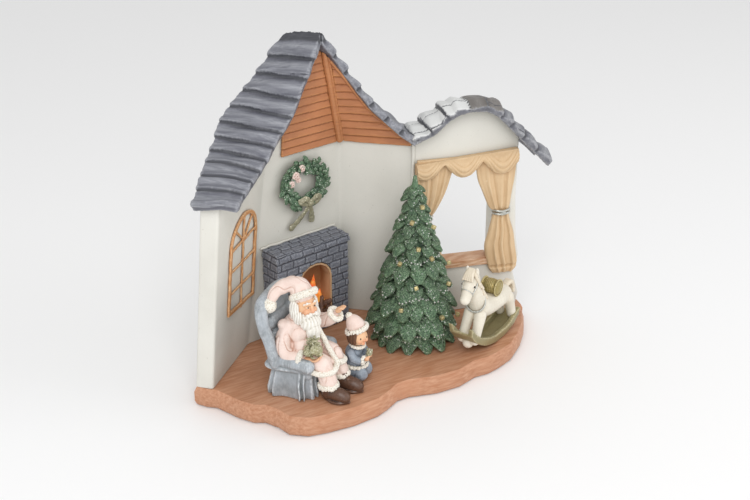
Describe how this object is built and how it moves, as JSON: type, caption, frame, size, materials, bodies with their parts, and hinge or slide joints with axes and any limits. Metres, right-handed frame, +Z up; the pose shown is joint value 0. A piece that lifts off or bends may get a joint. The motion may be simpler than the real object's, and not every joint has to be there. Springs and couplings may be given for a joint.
{
  "type": "light-up christmas house ornament",
  "caption": "Open corner of a snow-season cottage room on a thick floor, with hearth, tree, seated figure, child and rocking horse, lit from the hearth",
  "frame": {"origin": "middle of the bounding box, on the plane that the rubber feet stand on", "axes": "+X along the house, to the right seen from its open front; +Y to the back; +Z up"},
  "size_m": [0.3092, 0.1624, 0.2555],
  "materials": {
    "painted_floor": "cast resin, painted and dry-brushed as a wooden floor",
    "painted_plaster": "cast resin, painted off-white",
    "slate_paint": "cast resin, painted slate grey with rubbed highlights",
    "board_paint": "cast resin, painted orange brown",
    "brick_paint": "cast resin, dark grey with light rubbed joints",
    "hearth_paint": "cast resin, beige wash",
    "log_paint": "cast resin, dark brown",
    "flame_resin": "clear resin, tinted orange",
    "led_resin": "clear epoxy",
    "window_paint": "cast resin, painted wood brown",
    "curtain_paint": "cast resin, painted cream and gold",
    "silver_paint": "cast resin with silver paint",
    "wreath_paint": "cast resin, green with glitter",
    "rose_paint": "cast resin, pale pink",
    "tree_paint": "cast resin, green with glitter",
    "trunk_paint": "cast resin, brown",
    "chair_paint": "cast resin, grey blue wash",
    "coat_paint": "cast resin, pale pink",
    "skin_paint": "cast resin, skin colour",
    "beard_paint": "cast resin, off-white",
    "boot_paint": "cast resin, dark brown, satin",
    "gold_paint": "cast resin with old gold paint",
    "child_coat_paint": "cast resin, grey blue",
    "horse_paint": "cast resin, off-white",
    "black_plastic": "moulded",
    "cell_jacket": "plain printed jacket with no marks",
    "contact_steel": "plated spring steel",
    "red_insulation": "extruded",
    "black_insulation": "extruded",
    "foot_rubber": "moulded"
  },
  "bodies": {
    "house": {"main_roof_left": "slate_paint", "main_roof_right": "slate_paint", "annex_roof": "slate_paint", "room_wall": "painted_plaster", "window_wall": "painted_plaster", "window_sill": "window_paint", "base_floor": "painted_floor", "battery_box": "black_plastic", "battery_cell_1": "cell_jacket", "battery_cell_2": "cell_jacket", "battery_cell_3": "cell_jacket", "contact_plate_plus": "contact_steel", "contact_bridge_right": "contact_steel", "contact_bridge_left": "contact_steel", "contact_plate_minus": "contact_steel", "switch_housing": "black_plastic", "red_lead": "red_insulation", "black_lead": "black_insulation", "box_screw_1": "contact_steel", "box_screw_2": "contact_steel", "rubber_foot_1": "foot_rubber", "rubber_foot_2": "foot_rubber", "rubber_foot_3": "foot_rubber", "rubber_foot_4": "foot_rubber", "gable_boards_left": "board_paint", "gable_boards_right": "board_paint", "corner_post": "board_paint", "fireplace_surround": "brick_paint", "hearth_lining": "hearth_paint", "fire_logs": "log_paint", "fire_flame": "flame_resin", "fire_led": "led_resin", "side_window_frame": "window_paint", "curtain_left": "curtain_paint", "curtain_right": "curtain_paint", "curtain_valance": "curtain_paint", "curtain_tieback_left": "silver_paint", "curtain_tieback_right": "silver_paint", "wreath_ring": "wreath_paint", "wreath_bow": "silver_paint", "wreath_roses": "rose_paint", "tree_branches": "tree_paint", "tree_trunk": "trunk_paint", "armchair": "chair_paint", "santa_body": "coat_paint", "santa_head": "skin_paint", "santa_beard": "beard_paint", "santa_hat": "coat_paint", "santa_boot_left": "boot_paint", "santa_boot_right": "boot_paint", "santa_bauble_bunch": "gold_paint", "child_body": "child_coat_paint", "child_head": "skin_paint", "child_hat": "coat_paint", "horse_rockers": "gold_paint", "horse_body": "horse_paint", "horse_drum": "gold_paint"},
    "battery_door": {"battery_door": "black_plastic"},
    "switch_knob": {"switch_knob": "black_plastic"}
  },
  "joints": [
    {"name": "battery_door_hinge", "type": "hinge", "parent": "house", "child": "battery_door", "pos_m": [-0.00675, -0.03964, 0.0023], "axis": [-1, 0, 0], "range_deg": [0, 90]},
    {"name": "switch_slide", "type": "slide", "parent": "house", "child": "switch_knob", "axis": [1, 0, 0], "range_m": [0, 0.0043]}
  ]
}
